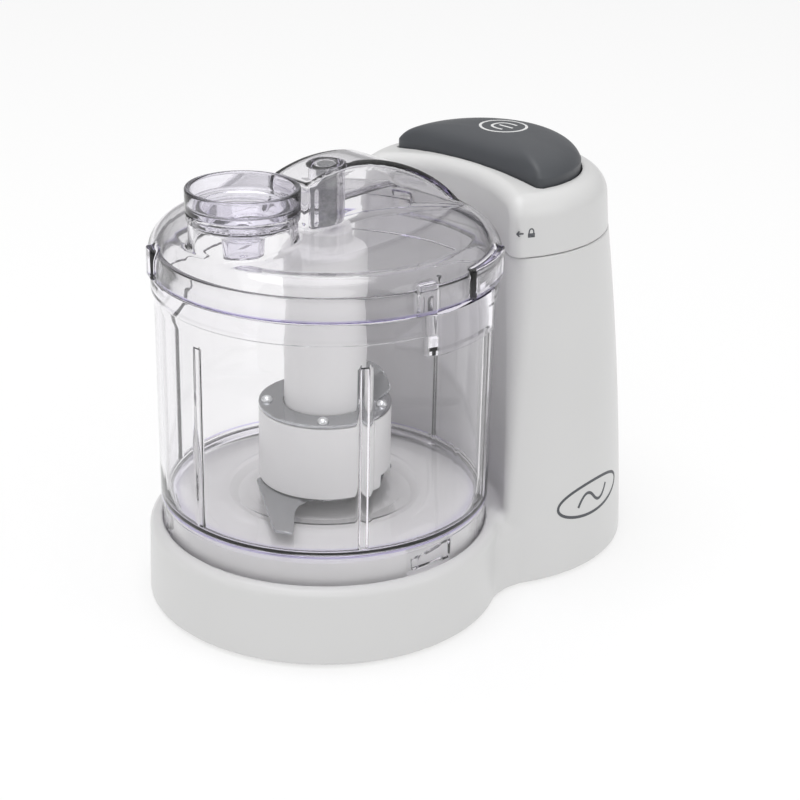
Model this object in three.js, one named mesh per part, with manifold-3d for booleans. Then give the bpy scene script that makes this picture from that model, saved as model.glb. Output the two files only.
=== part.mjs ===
// Mini food processor: a round clear bowl on a low dish, a tower with the motor beside it, and one
// press button on the tower. Millimetres, +Z up, standing on its feet at z = 0.
//
// Every piece below is drawn in the machine's own coordinates: the bowl's axis is x = 0, y = 0, the
// tower stands towards +X, and z = 0 is the lower edge of the housing. The exported group moves that
// to the part's frame, whose origin is the middle of the footprint on the table.

import * as THREE from 'three';
import { mergeVertices } from 'three/addons/utils/BufferGeometryUtils.js';
import { ParametricGeometry } from 'three/addons/geometries/ParametricGeometry.js';
import Module from 'manifold-3d';

const wasm = await Module();
wasm.setup();

// ---------------------------------------------------------------- driving dimensions

const GAP = 0.3; // clearance between pieces that touch
const ROUND = 32; // facets on the large round pieces
const MIDDLE = 24; // facets on the blade set and the feed chute
const FINE = 12; // facets on the small round pieces
const FOOT_PROUD = 1.2; // how far the feet stand below the housing

const DISH_R = 63; // dish under the bowl, at the table
const DISH_TOP = 27.7; // top of the dish's rim
const GROOVE_OUT = 57.9; // groove that the bowl's skirt drops into
const GROOVE_IN = 55;
const GROOVE_Z = 20;
const PLATEAU_TOP = 35.9; // raised middle of the dish, under the bowl's floor
const WALL = 2.4; // housing wall

const TOWER_X = 75; // tower's centre at the table
const TOWER_R = 62;
const TOWER_TAPER = 0.0945; // radius lost per mm of height
const TOWER_BELLY = 0.00023; // and per mm squared, which makes the side bulge a little
const TOWER_LEAN = 2 / 120; // the centre moves this far in x per mm of height
const SEAM_Z = 120; // joint line between housing and cap
const FRONT_R = 64; // concave front of the tower, round the bowl's axis
const CAP_X = TOWER_X + TOWER_LEAN * SEAM_Z;
const CAP_R = 47.3; // cap at the seam
const CAP_TOP = 143.7;
const CAP_WALL = 2.2;

const BUTTON_R = 36; // half-moon button, round the cap's centre
const BUTTON_FRONT = 68.6; // x of the button's two front corners
const BUTTON_SAG = 2; // how far its front edge curves in between them
const BUTTON_TOP = 152.2;
const BUTTON_EDGE = 147;
const BUTTON_MID_X = 86;
const BUTTON_TRAVEL = 3.5;

const BOWL_R = 58.4;
const BOWL_INSIDE = 56;
const SKIRT_R = 57.3; // skirt below the floor, which drops into the groove
const BOWL_BAND = 113; // lower edge of the thick band round the bowl's mouth
const BOWL_MOUTH = 128.6;
const BOWL_FLOOR = 38.8;
const LID_EDGE = 121.1; // lower edge of the lid
const LID_R = 60;
const LID_WALL = 2;
const TAB_R = 61.5; // grip tab and lugs on the lid
const CREST_TOP = 158; // top of the ridge over the lid
const CREST_ARC = 61; // radius of the arc that the ridge's crest follows
const CREST_X = 4;
const HUB_R = 5.7; // tube in the lid that holds the bearing pin
const PIN_R = 3.1;

const CHUTE_X = -36.5;
const CHUTE_R = 17.9;
const CHUTE_TOP = 147;
const CHUTE_BORE = 16.1;
const PUSHER_R = 18.8;

const DRUM_R = 23.3; // blade hub
const DRUM_LOW = 42.6;
const DRUM_TOP = 69.2;
const COLUMN_R = 14.3;
const COLUMN_TOP = 132.3;
const PLATE = 1.2; // blade steel
const KEY_TURNS = [0, 120, 240]; // the keys under the bowl repeat at these angles
const LUG_TURNS = [0, 120, 254]; // and the lid's lugs at these
const RIVET_R = 20.3; // rivet circle
const RIVET_ANGLES = [48, 141, 225, 303];

const MOTOR_X = 97;
const MOTOR_R = 24;
const MOTOR_LOW = 32;
const MOTOR_TOP = 90;
const PULLEY_LOW = 7;
const PULLEY_HIGH = 16;
const MOTOR_PULLEY_R = 7;
const SPINDLE_PULLEY_R = 26.5; // turns at 7 / 26.5 of the motor's speed
const BELT = 1.6; // belt thickness
const SPINDLE_R = 4;
const COUPLING_R = 6.9; // hexagon across corners / 2
const COUPLING_LOW = 68.5;
const COUPLING_TOP = 84;

const SWITCH_X = 82;
const SPRING_Y = 20;
const SPRING_X = 90;
const INTERLOCK_ANGLE = 19.5; // degrees round the bowl from +X
const INTERLOCK_Z = 127;

// ---------------------------------------------------------------- materials

const finish = (color, roughness, metalness = 0) =>
  new THREE.MeshStandardMaterial({ color, roughness, metalness });
const WHITE = finish(0xe4e3e1, 0.38);
const INNER_WHITE = finish(0xd8d7d2, 0.55);
const CLEAR = finish(0xe6e4f0, 0.08);
const DARK = finish(0x505256, 0.45);
const BLACK = finish(0x26272a, 0.6);
const RUBBER = finish(0x2d2d2f, 0.85);
const STEEL = finish(0xa3a6a9, 0.28, 1);
const IRON = finish(0x5c5e61, 0.5, 1);
const BRONZE = finish(0xa98250, 0.4, 1);
const BOARD = finish(0x2f5b3c, 0.6);

// ---------------------------------------------------------------- solids

const radians = (degrees) => (degrees * Math.PI) / 180;

/** A closed mesh with shared vertices, no slivers, and its faces pointing out. */
function closed(geometry) {
  const bare = new THREE.BufferGeometry();
  bare.setAttribute('position', geometry.attributes.position);
  const count = geometry.attributes.position.count;
  bare.setIndex(geometry.index ?? [...Array(count).keys()]);
  const merged = mergeVertices(bare, 1e-4);
  const place = merged.attributes.position;
  const point = [new THREE.Vector3(), new THREE.Vector3(), new THREE.Vector3()];
  const faces = [];
  let volume = 0;
  for (let i = 0; i < merged.index.count; i += 3) {
    const face = [0, 1, 2].map((k) => merged.index.getX(i + k));
    if (new Set(face).size < 3) continue;
    face.forEach((vertex, k) => point[k].fromBufferAttribute(place, vertex));
    volume += point[0].dot(point[1].clone().cross(point[2]));
    faces.push(face);
  }
  merged.setIndex((volume < 0 ? faces.map((face) => face.reverse()) : faces).flat());
  return merged;
}

const solid = (geometry) => {
  const mesh = closed(geometry);
  return new wasm.Manifold(
    new wasm.Mesh({
      numProp: 3,
      vertProperties: new Float32Array(mesh.attributes.position.array),
      triVerts: new Uint32Array(mesh.index.array),
    }),
  );
};

function geometryOf(body) {
  const mesh = body.getMesh();
  const geometry = new THREE.BufferGeometry();
  geometry.setAttribute('position', new THREE.BufferAttribute(mesh.vertProperties, 3));
  geometry.setIndex(new THREE.BufferAttribute(mesh.triVerts, 1));
  return geometry;
}

const join = (...bodies) => bodies.reduce((whole, body) => whole.add(body));
const cut = (whole, ...tools) => tools.reduce((left, tool) => left.subtract(tool), whole);

/** A turned solid: [radius, z] points that start and end on the axis, or a ring that closes. */
function turned(points, facets = ROUND, x = 0, y = 0) {
  const profile = points.map(([r, z]) => new THREE.Vector2(r, z));
  const ring = points[0][0] > 0 || points.at(-1)[0] > 0;
  if (ring) profile.push(profile[0].clone());
  const geometry = new THREE.LatheGeometry(profile, facets);
  geometry.rotateX(Math.PI / 2);
  geometry.translate(x, y, 0);
  return solid(geometry);
}

/** A plain round bar or disc standing on z = low. */
const bar = (r, low, high, facets = FINE, x = 0, y = 0) =>
  turned([[0, low], [r, low], [r, high], [0, high]], facets, x, y);

/** A tube standing on z = low. */
const tube = (inner, outer, low, high, facets = FINE, x = 0, y = 0) =>
  turned([[inner, low], [outer, low], [outer, high], [inner, high]], facets, x, y);

/** A flat outline raised from z = low to z = high. */
function raised(shape, low, high, curveSegments = 12) {
  const depth = high - low;
  const geometry = new THREE.ExtrudeGeometry(shape, { depth, bevelEnabled: false, curveSegments });
  geometry.translate(0, 0, low);
  return solid(geometry);
}

function box(x0, x1, y0, y1, z0, z1) {
  const geometry = new THREE.BoxGeometry(x1 - x0, y1 - y0, z1 - z0);
  geometry.translate((x0 + x1) / 2, (y0 + y1) / 2, (z0 + z1) / 2);
  return solid(geometry);
}

/** A piece of a ring between two radii and two angles in degrees. */
function sector(inner, outer, from, to, low, high, steps = 6) {
  const shape = new THREE.Shape();
  shape.absarc(0, 0, outer, radians(from), radians(to), false);
  shape.absarc(0, 0, inner, radians(to), radians(from), true);
  return raised(shape, low, high, steps);
}

const spin = (body, degrees) => body.rotate([0, 0, degrees]);
const onCircle = (r, degrees) => [r * Math.cos(radians(degrees)), r * Math.sin(radians(degrees))];

/** Points of a quarter-round corner, from one angle to another. */
function corner(r, z, radius, from, to, steps = 4) {
  const turn = (i) => radians(from + ((to - from) * i) / steps);
  return Array.from({ length: steps + 1 }, (_, i) => [
    r + radius * Math.cos(turn(i)),
    z + radius * Math.sin(turn(i)),
  ]);
}

// ---------------------------------------------------------------- housing

const towerRadius = (z) => TOWER_R - TOWER_TAPER * z - TOWER_BELLY * z * z;

/** The tower's leaning, slightly bulging cone, made smaller all round by an inset. */
function towerCone(inset, low, high) {
  const steps = 6;
  const side = Array.from({ length: steps + 1 }, (_, i) => {
    const z = low + ((high - low) * i) / steps;
    return [towerRadius(z) - inset, z];
  });
  const profile = [[0, low], ...side, [0, high]];
  const geometry = new THREE.LatheGeometry(profile.map(([r, z]) => new THREE.Vector2(r, z)), ROUND);
  geometry.rotateX(Math.PI / 2);
  geometry.applyMatrix4(new THREE.Matrix4().makeShear(0, 0, 0, 0, TOWER_LEAN, 0));
  geometry.translate(TOWER_X, 0, 0);
  return solid(geometry);
}

/** Fills the waist where the dish and the tower meet, with a hollow curve of radius 11. */
function waist(side) {
  const hollow = 11;
  const a = DISH_R + hollow;
  const b = TOWER_R + hollow;
  const x = (a * a - b * b + TOWER_X * TOWER_X) / (2 * TOWER_X);
  const y = Math.sqrt(a * a - x * x);
  const toDish = Math.atan2(-y, -x);
  const toTower = Math.atan2(-y, TOWER_X - x);
  const shape = new THREE.Shape();
  shape.moveTo(x - 8, 30);
  shape.absarc(x, y, hollow, toDish, toTower, false);
  shape.lineTo(x + 8, 30);
  const depth = 25;
  const draft = 0.04;
  const geometry = new THREE.ExtrudeGeometry(shape, { depth, bevelEnabled: false, curveSegments: 8 });
  const place = geometry.attributes.position;
  for (let i = 0; i < place.count; i += 1) {
    place.setY(i, side * place.getY(i) * (1 - (draft * place.getZ(i)) / depth));
  }
  return solid(geometry);
}

const BOSSES = [
  ...[-1, 1].map((side) => onCircle(54, 180 - side * 60)),
  ...[-1, 1].map((side) => {
    const [x, y] = onCircle(55, side * 50);
    return [TOWER_X + x, y];
  }),
];

function baseHousing() {
  const dish = turned([
    [0, 0], [DISH_R, 0], [62.4, 23.4], ...corner(58.6, 23.9, 3.8, 0, 90),
    [GROOVE_OUT, DISH_TOP - 0.4], [GROOVE_OUT, GROOVE_Z], [GROOVE_IN, GROOVE_Z],
    [GROOVE_IN, PLATEAU_TOP - 1], [GROOVE_IN - 1, PLATEAU_TOP], [33.5, PLATEAU_TOP],
    [31, PLATEAU_TOP - 1.5], [0, PLATEAU_TOP - 1.5],
  ]);
  const groove = bar(GROOVE_OUT, -1, 200, ROUND);
  const tower = cut(
    towerCone(0, 0, SEAM_Z),
    bar(FRONT_R, DISH_TOP, 200, ROUND),
    groove,
  );
  const hollow = join(
    bar(DISH_R - WALL - 0.2, -1, 17.8, ROUND),
    bar(GROOVE_IN - WALL, -1, PLATEAU_TOP - 1.5 - WALL, ROUND),
    cut(
      towerCone(WALL, -1, 200),
      bar(DISH_R - WALL - 0.3, 17, 25.4, ROUND),
      bar(FRONT_R + WALL, 25.4, 300, ROUND),
    ),
  );
  const sleeve = join(bar(9, 20, 34, FINE), bar(7.6, 33, 60, FINE));
  const keys = KEY_TURNS.map((turn) => sector(53.4, 56, -103.5 + turn, -82.5 + turn, 26, 40, 3));
  const waists = cut(join(waist(1), waist(-1)), groove);
  let housing = cut(join(dish, tower, waists), hollow, ...keys);
  for (const [x, y] of BOSSES) housing = housing.add(bar(4, 3.7, 18.4, 12, x, y));
  for (const [x, y] of BOSSES) housing = cut(housing, bar(1.9, 0, 15, 12, x, y));
  housing = cut(housing.add(sleeve), bar(5.6, 10, 70, FINE));
  const outlet = bar(4.9, 125, 145, FINE).rotate([0, 90, 0]).translate([0, 0, 18]);
  return cut(housing, outlet);
}

function bottomCover() {
  const low = 1.2;
  const high = 3.4;
  let plate = join(
    bar(DISH_R - WALL - 0.6, low, high, ROUND),
    bar(TOWER_R - WALL - 1, low, high, ROUND, TOWER_X),
    box(25, 50, -44, 44, low, high),
  );
  for (const [x, y] of BOSSES) {
    plate = cut(plate, bar(3.8, 0, 2.4, 12, x, y), bar(1.9, 0, 5, 12, x, y));
  }
  return plate;
}

const bottomScrew = ([x, y]) => join(bar(3.4, 1.2, 2.1, 12, x, y), bar(1.5, 2, 14, 12, x, y));

const foot = ([x, y]) =>
  turned([[0, -FOOT_PROUD], [5.4, -FOOT_PROUD], [6, -0.6], [6, 0.9], [0, 0.9]], 16, x, y);

function cordGland() {
  const bushing = join(
    tube(3.4, 4.5, 128, 136.5, FINE),
    tube(3.4, 5, 136.05, 136.9, FINE),
    tube(3.4, 6, 128, 130, FINE),
  );
  return bushing.rotate([0, 90, 0]).translate([0, 0, 18]);
}

/** The cap's turned outside or inside, before the concave front is cut. */
function capForm(inset, low) {
  const side = CAP_R - 1 - inset;
  const shoulder = 7 - inset;
  return turned([
    [0, low], [CAP_R - inset, low], [side, 134], ...corner(side - shoulder, 134, shoulder, 0, 80),
    [20, CAP_TOP - 0.7 - inset], [0, CAP_TOP - inset],
  ], ROUND, CAP_X);
}

/** The button's outline: a round back and a front edge that curves gently in. */
function buttonOutline(grow) {
  const r = BUTTON_R + grow;
  const front = BUTTON_FRONT - grow;
  const half = Math.sqrt(r * r - (CAP_X - front) ** 2);
  const sweep = (half * half + BUTTON_SAG ** 2) / (2 * BUTTON_SAG);
  const centre = front + BUTTON_SAG - sweep;
  const shape = new THREE.Shape();
  const back = Math.atan2(half, front - CAP_X);
  shape.absarc(CAP_X, 0, r, -back, back, false);
  const edge = Math.atan2(half, front - centre);
  shape.absarc(centre, 0, sweep, edge, -edge, true);
  return shape;
}

function towerCap() {
  const shell = cut(
    capForm(0, SEAM_Z + GAP),
    cut(capForm(CAP_WALL, SEAM_Z - 1), bar(FRONT_R + CAP_WALL, 100, 200, ROUND)),
    bar(FRONT_R, 100, 200, ROUND),
  );
  const opening = raised(buttonOutline(0.5), 130, 150, 16);
  const hole = interlockBar(2.7, 60, 70);
  return cut(shell, opening, hole);
}

// ---------------------------------------------------------------- button, switch and interlock

/** A pillow over the button's outline: straight sides, and a top that rounds over to its edge. */
function buttonForm(scale, low, top) {
  const outline = buttonOutline(0);
  const stacks = 6;
  const drop = BUTTON_TOP - BUTTON_EDGE;
  const point = (u, v, target) => {
    const step = v * stacks;
    const spread = step < 1 ? step : step < 2 ? 1 : (stacks - step) / (stacks - 2);
    const reach = Math.sin((spread * Math.PI) / 2);
    const z = step < 2 ? low : top - drop * reach ** 4;
    const rim = outline.getPointAt(u % 1);
    const size = scale * (step < 2 ? Math.min(step, 1) : reach);
    target.set(BUTTON_MID_X + (rim.x - BUTTON_MID_X) * size, rim.y * size, step < 1 ? low : z);
  };
  return solid(new ParametricGeometry(point, 30, stacks));
}

function powerButton() {
  const shell = cut(buttonForm(1, 136, BUTTON_TOP), buttonForm(0.93, 130, BUTTON_TOP - 2.2));
  const stem = bar(3, 131.6, 151, 12, SWITCH_X);
  const seats = [-1, 1].map((side) => bar(4, 134, 149.5, 12, SPRING_X, side * SPRING_Y));
  return join(shell, stem, ...seats);
}

const switchCarrier = () => {
  const plate = box(70, 108, -27, 27, 111, 113);
  const posts = [-1, 1].map((side) => bar(1.7, 112, 118, 12, SPRING_X, side * SPRING_Y));
  return join(plate, ...posts);
};

const microSwitch = () =>
  cut(box(74, 94, -4, 4, 113 + GAP, 128), bar(1.8, 122.5, 130, 12, SWITCH_X));

const switchPlunger = () => bar(1.4, 126.6, 131.3, 12, SWITCH_X);

const buttonSpring = (side) =>
  tube(2.1, 3.3, 113 + GAP, 134 - GAP, 12, SPRING_X, side * SPRING_Y);

/** A bar along the interlock's line, between two distances from the bowl's axis. */
const interlockBar = (r, from, to) =>
  spin(bar(r, from, to, 12).rotate([0, 90, 0]), INTERLOCK_ANGLE).translate([0, 0, INTERLOCK_Z]);

const interlockPin = () => join(interlockBar(2.2, 61.8, 74), interlockBar(3.4, 67, 68.5));

const interlockSpring = () => cut(interlockBar(3.2, 68.8, 76), interlockBar(2.5, 60, 80));

const interlockBracket = () => spin(box(78.6, 82, -5, 5, 113 + GAP, 131), INTERLOCK_ANGLE);

// ---------------------------------------------------------------- motor and drive

const motorCan = () =>
  cut(
    tube(MOTOR_R - 2, MOTOR_R, MOTOR_LOW, MOTOR_TOP, MIDDLE, MOTOR_X).add(
      tube(4, MOTOR_R - 1, MOTOR_LOW, MOTOR_LOW + 2, MIDDLE, MOTOR_X),
    ),
    ...[30, 150, 270].map((turn) =>
      spin(box(-4, 4, MOTOR_R - 4, MOTOR_R + 4, 72, 84), turn).translate([MOTOR_X, 0, 0]),
    ),
  );

const motorEndCap = () =>
  join(
    tube(3, MOTOR_R, MOTOR_TOP + GAP, MOTOR_TOP + 3, MIDDLE, MOTOR_X),
    tube(3, 8, MOTOR_TOP + 2, MOTOR_TOP + 7, FINE, MOTOR_X),
  );

const motorBracket = () =>
  cut(
    box(MOTOR_X - 27, MOTOR_X + 22, -34, 34, 28.5, MOTOR_LOW - GAP),
    bar(9, 20, 40, FINE, MOTOR_X),
  );

const motorShaft = () => bar(2.5, 5.5, 98, 12, MOTOR_X);

const motorArmature = () => tube(2.8, 19, 40, 70, FINE, MOTOR_X);

function motorFan() {
  const hub = tube(2.8, 7, 74, 84, FINE, MOTOR_X);
  const vanes = Array.from({ length: 6 }, (_, i) =>
    spin(box(6, 20, -0.7, 0.7, 76, 84), i * 60).translate([MOTOR_X, 0, 0]),
  );
  return join(hub, tube(6, 20, 75, 76.5, FINE, MOTOR_X), ...vanes);
}

/** A belt pulley: a rim between two flanges, thinned to a web round its hub. */
function pulley(bore, rim, x, facets) {
  const flange = rim + 1.3;
  const ring = turned([
    [bore, PULLEY_LOW], [flange, PULLEY_LOW], [flange, PULLEY_LOW + 0.8], [rim, PULLEY_LOW + 0.9],
    [rim, PULLEY_HIGH - 0.9], [flange, PULLEY_HIGH - 0.8], [flange, PULLEY_HIGH], [bore, PULLEY_HIGH],
  ], facets, x);
  if (rim < 15) return ring;
  return cut(ring, tube(9, rim - 3, 0, PULLEY_LOW + 3, facets, x), tube(9, rim - 3, 13, 30, facets, x));
}

/** The loop round both pulleys, made of two tangent arcs and the straight runs between them. */
function beltLoop(grow) {
  const big = SPINDLE_PULLEY_R + GAP + grow;
  const small = MOTOR_PULLEY_R + GAP + grow;
  const tilt = Math.acos((big - small) / MOTOR_X);
  const loop = new THREE.Shape();
  loop.absarc(MOTOR_X, 0, small, -tilt, tilt, false);
  loop.absarc(0, 0, big, tilt, 2 * Math.PI - tilt, false);
  return loop;
}

const driveBelt = () =>
  cut(raised(beltLoop(BELT), PULLEY_LOW + 1.3, PULLEY_HIGH - 1.3), raised(beltLoop(0), 0, 30));

const driveSpindle = () => bar(SPINDLE_R, 5.5, COUPLING_TOP - 1, FINE);

const hexagon = (r, low, high) => bar(r, low, high, 6);

const driveCoupling = () =>
  cut(hexagon(COUPLING_R, COUPLING_LOW, COUPLING_TOP), bar(SPINDLE_R + GAP, 60, 90, FINE));

const spindleBush = (low, high) => tube(SPINDLE_R + 0.2, 5.3, low, high, FINE);

function circuitBoard() {
  const board = box(78, 112, -18, 18, 100, 101.6);
  const rectifier = box(84, 96, -12, -6, 101, 108);
  const capacitor = bar(5, 101, 109.5, 16, 102, 8);
  const terminals = box(82, 90, 6, 14, 101, 107);
  return cut(join(board, rectifier, capacitor, terminals), bar(4, 90, 101, 12, MOTOR_X));
}

// ---------------------------------------------------------------- bowl

function bowl() {
  const foot = GROOVE_Z + GAP + 0.1;
  const step = LID_EDGE - GAP - 0.1; // where the lid's edge comes to rest
  const under = BOWL_FLOOR - 2.2;
  const wall = turned([
    [SKIRT_R, foot], [SKIRT_R, under - 0.8], [58.2, under], [BOWL_R, BOWL_BAND], [59.4, BOWL_BAND + 0.6],
    [59.4, step], [57.3, step], [57.3, BOWL_MOUTH], [55.6, BOWL_MOUTH], [BOWL_INSIDE, 110],
    [BOWL_INSIDE, BOWL_FLOOR + 1], [55.2, BOWL_FLOOR], [33, BOWL_FLOOR], [29.5, BOWL_FLOOR - 1.5],
    [12.2, BOWL_FLOOR - 1.5], [10.6, 39], [10.4, 65], [10.2, 66], [8.5, 66], [8.6, 35.1], [30, 35.1],
    [33, under], [55.6, under], [55.6, foot],
  ]);
  const ribs = Array.from({ length: 6 }, (_, i) =>
    spin(box(BOWL_INSIDE - 1.6, BOWL_INSIDE + 0.6, -1.4, 1.4, BOWL_FLOOR - 0.8, 105), i * 60),
  );
  const pad = sector(58, 61, -98, -64, 106, step);
  const keys = KEY_TURNS.map((turn) => sector(54, 56.4, -101.5 + turn, -84.5 + turn, 28, 35, 3));
  return join(wall, ...ribs, pad, ...keys);
}

// ---------------------------------------------------------------- lid

/** The ridge that runs from the chute over the hub to the rim, widening towards the tower. */
function ridge(inset, low, high) {
  const plan = new THREE.Shape();
  const start = -17.2 + inset;
  const end = 51 - inset;
  const narrow = 10 - inset;
  const wide = 18 - inset;
  plan.moveTo(start, -narrow);
  plan.lineTo(6, -narrow);
  plan.quadraticCurveTo(28, -narrow - 1, end, -wide);
  plan.quadraticCurveTo(end + 3, 0, end, wide);
  plan.quadraticCurveTo(28, narrow + 1, 6, narrow);
  plan.lineTo(start, narrow);
  const column = raised(plan, low, high, 8);
  const arch = bar(CREST_ARC - inset, -30, 30, 64)
    .rotate([90, 0, 0])
    .translate([CREST_X, 0, CREST_TOP - CREST_ARC]);
  return column.intersect(arch);
}

function lid() {
  const inner = LID_R - LID_WALL - 0.1;
  const crown = [[48, 136], [28, 137.6], [0, 138.4]];
  const dome = turned([
    [inner, LID_EDGE], [LID_R, LID_EDGE], ...corner(LID_R - 8.5, 126.2, 8.5, 0, 75),
    ...crown, ...crown.map(([r, z]) => [r, z - LID_WALL]).reverse(),
    [52.6, 133], [55.9, 131.2], [inner, 129],
  ]);
  const chute = join(
    bar(CHUTE_R, 134, CHUTE_TOP, MIDDLE, CHUTE_X),
    bar(18.6, CHUTE_TOP - 2.4, CHUTE_TOP, MIDDLE, CHUTE_X),
  );
  const bore = bar(CHUTE_BORE, 120, 160, MIDDLE, CHUTE_X);
  const hub = tube(PIN_R + 0.8, HUB_R, 133.3, 156.5, FINE);
  const lugs = LUG_TURNS.map((turn) => sector(58.2, TAB_R, -104 + turn, -97 + turn, LID_EDGE, 131.5, 2));
  const tab = sector(58.2, TAB_R, -81, -54, LID_EDGE, 131.5);
  const shell = cut(join(dome, ridge(0, 134, 160), chute, ...lugs, tab), ridge(1.8, 120, 160), bore);
  return shell.add(hub);
}

const lidPin = () =>
  turned([[0, 127.6], [PIN_R - 0.5, 127.6], [PIN_R, 128.2], [PIN_R, 154.4], [0, 154.4]], 16);

function foodPusher() {
  return turned([
    [1.3, 130.5], [6.4, 130.5], [7, 131.3], [7.2, 138.6], [14.6, 142.6], [15.6, 144],
    [15.6, CHUTE_TOP + 0.4], [PUSHER_R - 0.2, CHUTE_TOP + 0.4], [PUSHER_R, CHUTE_TOP + 1],
    [PUSHER_R, 154.4], [PUSHER_R - 0.6, 155], [17.3, 155], [16.9, 154.4], [16.9, 149.4], [14, 149],
    [13.6, 144.6], [5.6, 139.8],
    [5.4, 132.1], [1.3, 132.1],
  ], MIDDLE, CHUTE_X);
}

// ---------------------------------------------------------------- blade set

function bladeColumn() {
  const outside = turned([
    [0, DRUM_LOW + 0.4], [COLUMN_R, DRUM_LOW + 0.4], [COLUMN_R, 125.5], [9, 128.3], [9, 131.8],
    [8.5, COLUMN_TOP], [0, COLUMN_TOP],
  ], MIDDLE);
  const bore = bar(11.3, 40, 67, FINE);
  const socket = hexagon(COUPLING_R + 0.5, 66, 90);
  const hollow = turned([[0, 89], [11.8, 89], [11.8, 121], [6, 125], [0, 125]], FINE);
  const recess = bar(3.7, 127, 140, 16);
  return cut(outside, bore, socket, hollow, recess);
}

const rivetHoles = (low, high) =>
  RIVET_ANGLES.map((angle) => bar(1.4, low, high, 6, ...onCircle(RIVET_R, angle)));

const bladeHub = () =>
  cut(
    turned([
      [COLUMN_R + GAP, DRUM_LOW], [16.2, DRUM_LOW], [16.2, DRUM_TOP - 2], [21.3, DRUM_TOP - 2],
      [21.3, DRUM_LOW], [DRUM_R, DRUM_LOW], [DRUM_R, DRUM_TOP], [COLUMN_R + GAP, DRUM_TOP],
    ], MIDDLE),
    ...rivetHoles(60, 75),
  );

/** Flat steel ring on the hub with one curved wing that rises behind the column. */
function upperBlade() {
  const low = DRUM_TOP + GAP;
  const ring = tube(COLUMN_R + 0.4, DRUM_R, low, low + PLATE, MIDDLE);
  const hinge = 15.6;
  const wing = sector(hinge, 27.2, -31, 46, 0, PLATE, 8)
    .translate([-hinge, 0, 0])
    .rotate([0, -62, 0])
    .translate([hinge, 0, low]);
  const clear = cut(wing, bar(COLUMN_R + 0.4, 0, 200, MIDDLE), bar(60, 0, low));
  return cut(ring.add(spin(clear, -17)), ...rivetHoles(60, 75));
}

const bladeRivet = (angle) => {
  const [x, y] = onCircle(RIVET_R, angle);
  const seat = DRUM_TOP + GAP + PLATE + GAP;
  return turned([
    [0, 63], [1, 63], [1, seat], [2.1, seat], [1.9, seat + 0.8], [1.1, seat + 1.4], [0, seat + 1.6],
  ], 8, x, y);
};

/** Steel ring under the hub with two hooked wings that sweep just above the floor. */
function lowerBlade() {
  const high = DRUM_LOW - GAP;
  const wing = new THREE.Shape();
  wing.moveTo(8, -18.5);
  wing.lineTo(12, -21.7);
  wing.lineTo(46.8, -4.3);
  wing.quadraticCurveTo(48.6, -3, 48.2, -0.5);
  wing.lineTo(47.1, 2.9);
  wing.quadraticCurveTo(36, -1.6, 29, -1.6);
  wing.quadraticCurveTo(22, -1, 12, 12);
  const ring = bar(21, high - PLATE, high, MIDDLE);
  const wings = [-149, 31].map((turn) => spin(raised(wing, high - PLATE, high, 6), turn));
  return cut(join(ring, ...wings), bar(11.4, 0, 100, FINE));
}

// ---------------------------------------------------------------- assembly

const machine = new THREE.Group();

function add(name, body, material) {
  const mesh = new THREE.Mesh(geometryOf(body), material);
  mesh.name = name;
  machine.add(mesh);
}

const FEET = [[-34, -34], [-34, 34], [100, -38], [100, 38]];

add('base_housing', baseHousing(), WHITE);
add('tower_cap', towerCap(), WHITE);
add('bottom_cover', bottomCover(), INNER_WHITE);
FEET.forEach((place, i) => add(`foot_${i + 1}`, foot(place), RUBBER));
BOSSES.forEach((place, i) => add(`bottom_screw_${i + 1}`, bottomScrew(place), STEEL));
add('cord_gland', cordGland(), RUBBER);

add('motor_can', motorCan(), IRON);
add('motor_end_cap', motorEndCap(), BLACK);
add('motor_bracket', motorBracket(), STEEL);
add('motor_shaft', motorShaft(), STEEL);
add('motor_armature', motorArmature(), IRON);
add('motor_fan', motorFan(), BLACK);
add('motor_pulley', pulley(2.8, MOTOR_PULLEY_R, MOTOR_X, FINE), STEEL);
add('drive_belt', driveBelt(), RUBBER);
add('spindle_pulley', pulley(SPINDLE_R + GAP, SPINDLE_PULLEY_R, 0, MIDDLE), BLACK);
add('drive_spindle', driveSpindle(), STEEL);
add('drive_coupling', driveCoupling(), BLACK);
add('spindle_bush_lower', spindleBush(21, 29), BRONZE);
add('spindle_bush_upper', spindleBush(52, 60), BRONZE);
add('circuit_board', circuitBoard(), BOARD);

add('power_button', powerButton(), DARK);
add('switch_carrier', switchCarrier(), INNER_WHITE);
add('micro_switch', microSwitch(), BLACK);
add('switch_plunger', switchPlunger(), INNER_WHITE);
[-1, 1].forEach((side, i) => add(`button_spring_${i + 1}`, buttonSpring(side), STEEL));
add('interlock_pin', interlockPin(), INNER_WHITE);
add('interlock_spring', interlockSpring(), STEEL);
add('interlock_bracket', interlockBracket(), INNER_WHITE);

add('bowl', bowl(), CLEAR);
add('lid', lid(), CLEAR);
add('lid_bearing_pin', lidPin(), IRON);
add('food_pusher', foodPusher(), CLEAR);

add('blade_column', bladeColumn(), WHITE);
add('blade_hub', bladeHub(), WHITE);
add('upper_blade', upperBlade(), STEEL);
add('lower_blade', lowerBlade(), STEEL);
RIVET_ANGLES.forEach((angle, i) => add(`blade_rivet_${i + 1}`, bladeRivet(angle), STEEL));

// The footprint runs from the dish's edge at -DISH_R to the tower's back at TOWER_X + TOWER_R.
machine.position.set((DISH_R - TOWER_X - TOWER_R) / 2, 0, FOOT_PROUD);

const part = new THREE.Group();
part.add(machine);

export default part;
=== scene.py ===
"""A mini food processor: clear bowl and lid on a low dish, a motor tower, and one press button.

Shapes are made in millimetres in the machine's own coordinates: x = 0, y = 0 is the bowl's axis, the
tower stands towards +X, and z = 0 is the housing's lower edge. `show` puts them in the frame, in metres.
"""

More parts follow.
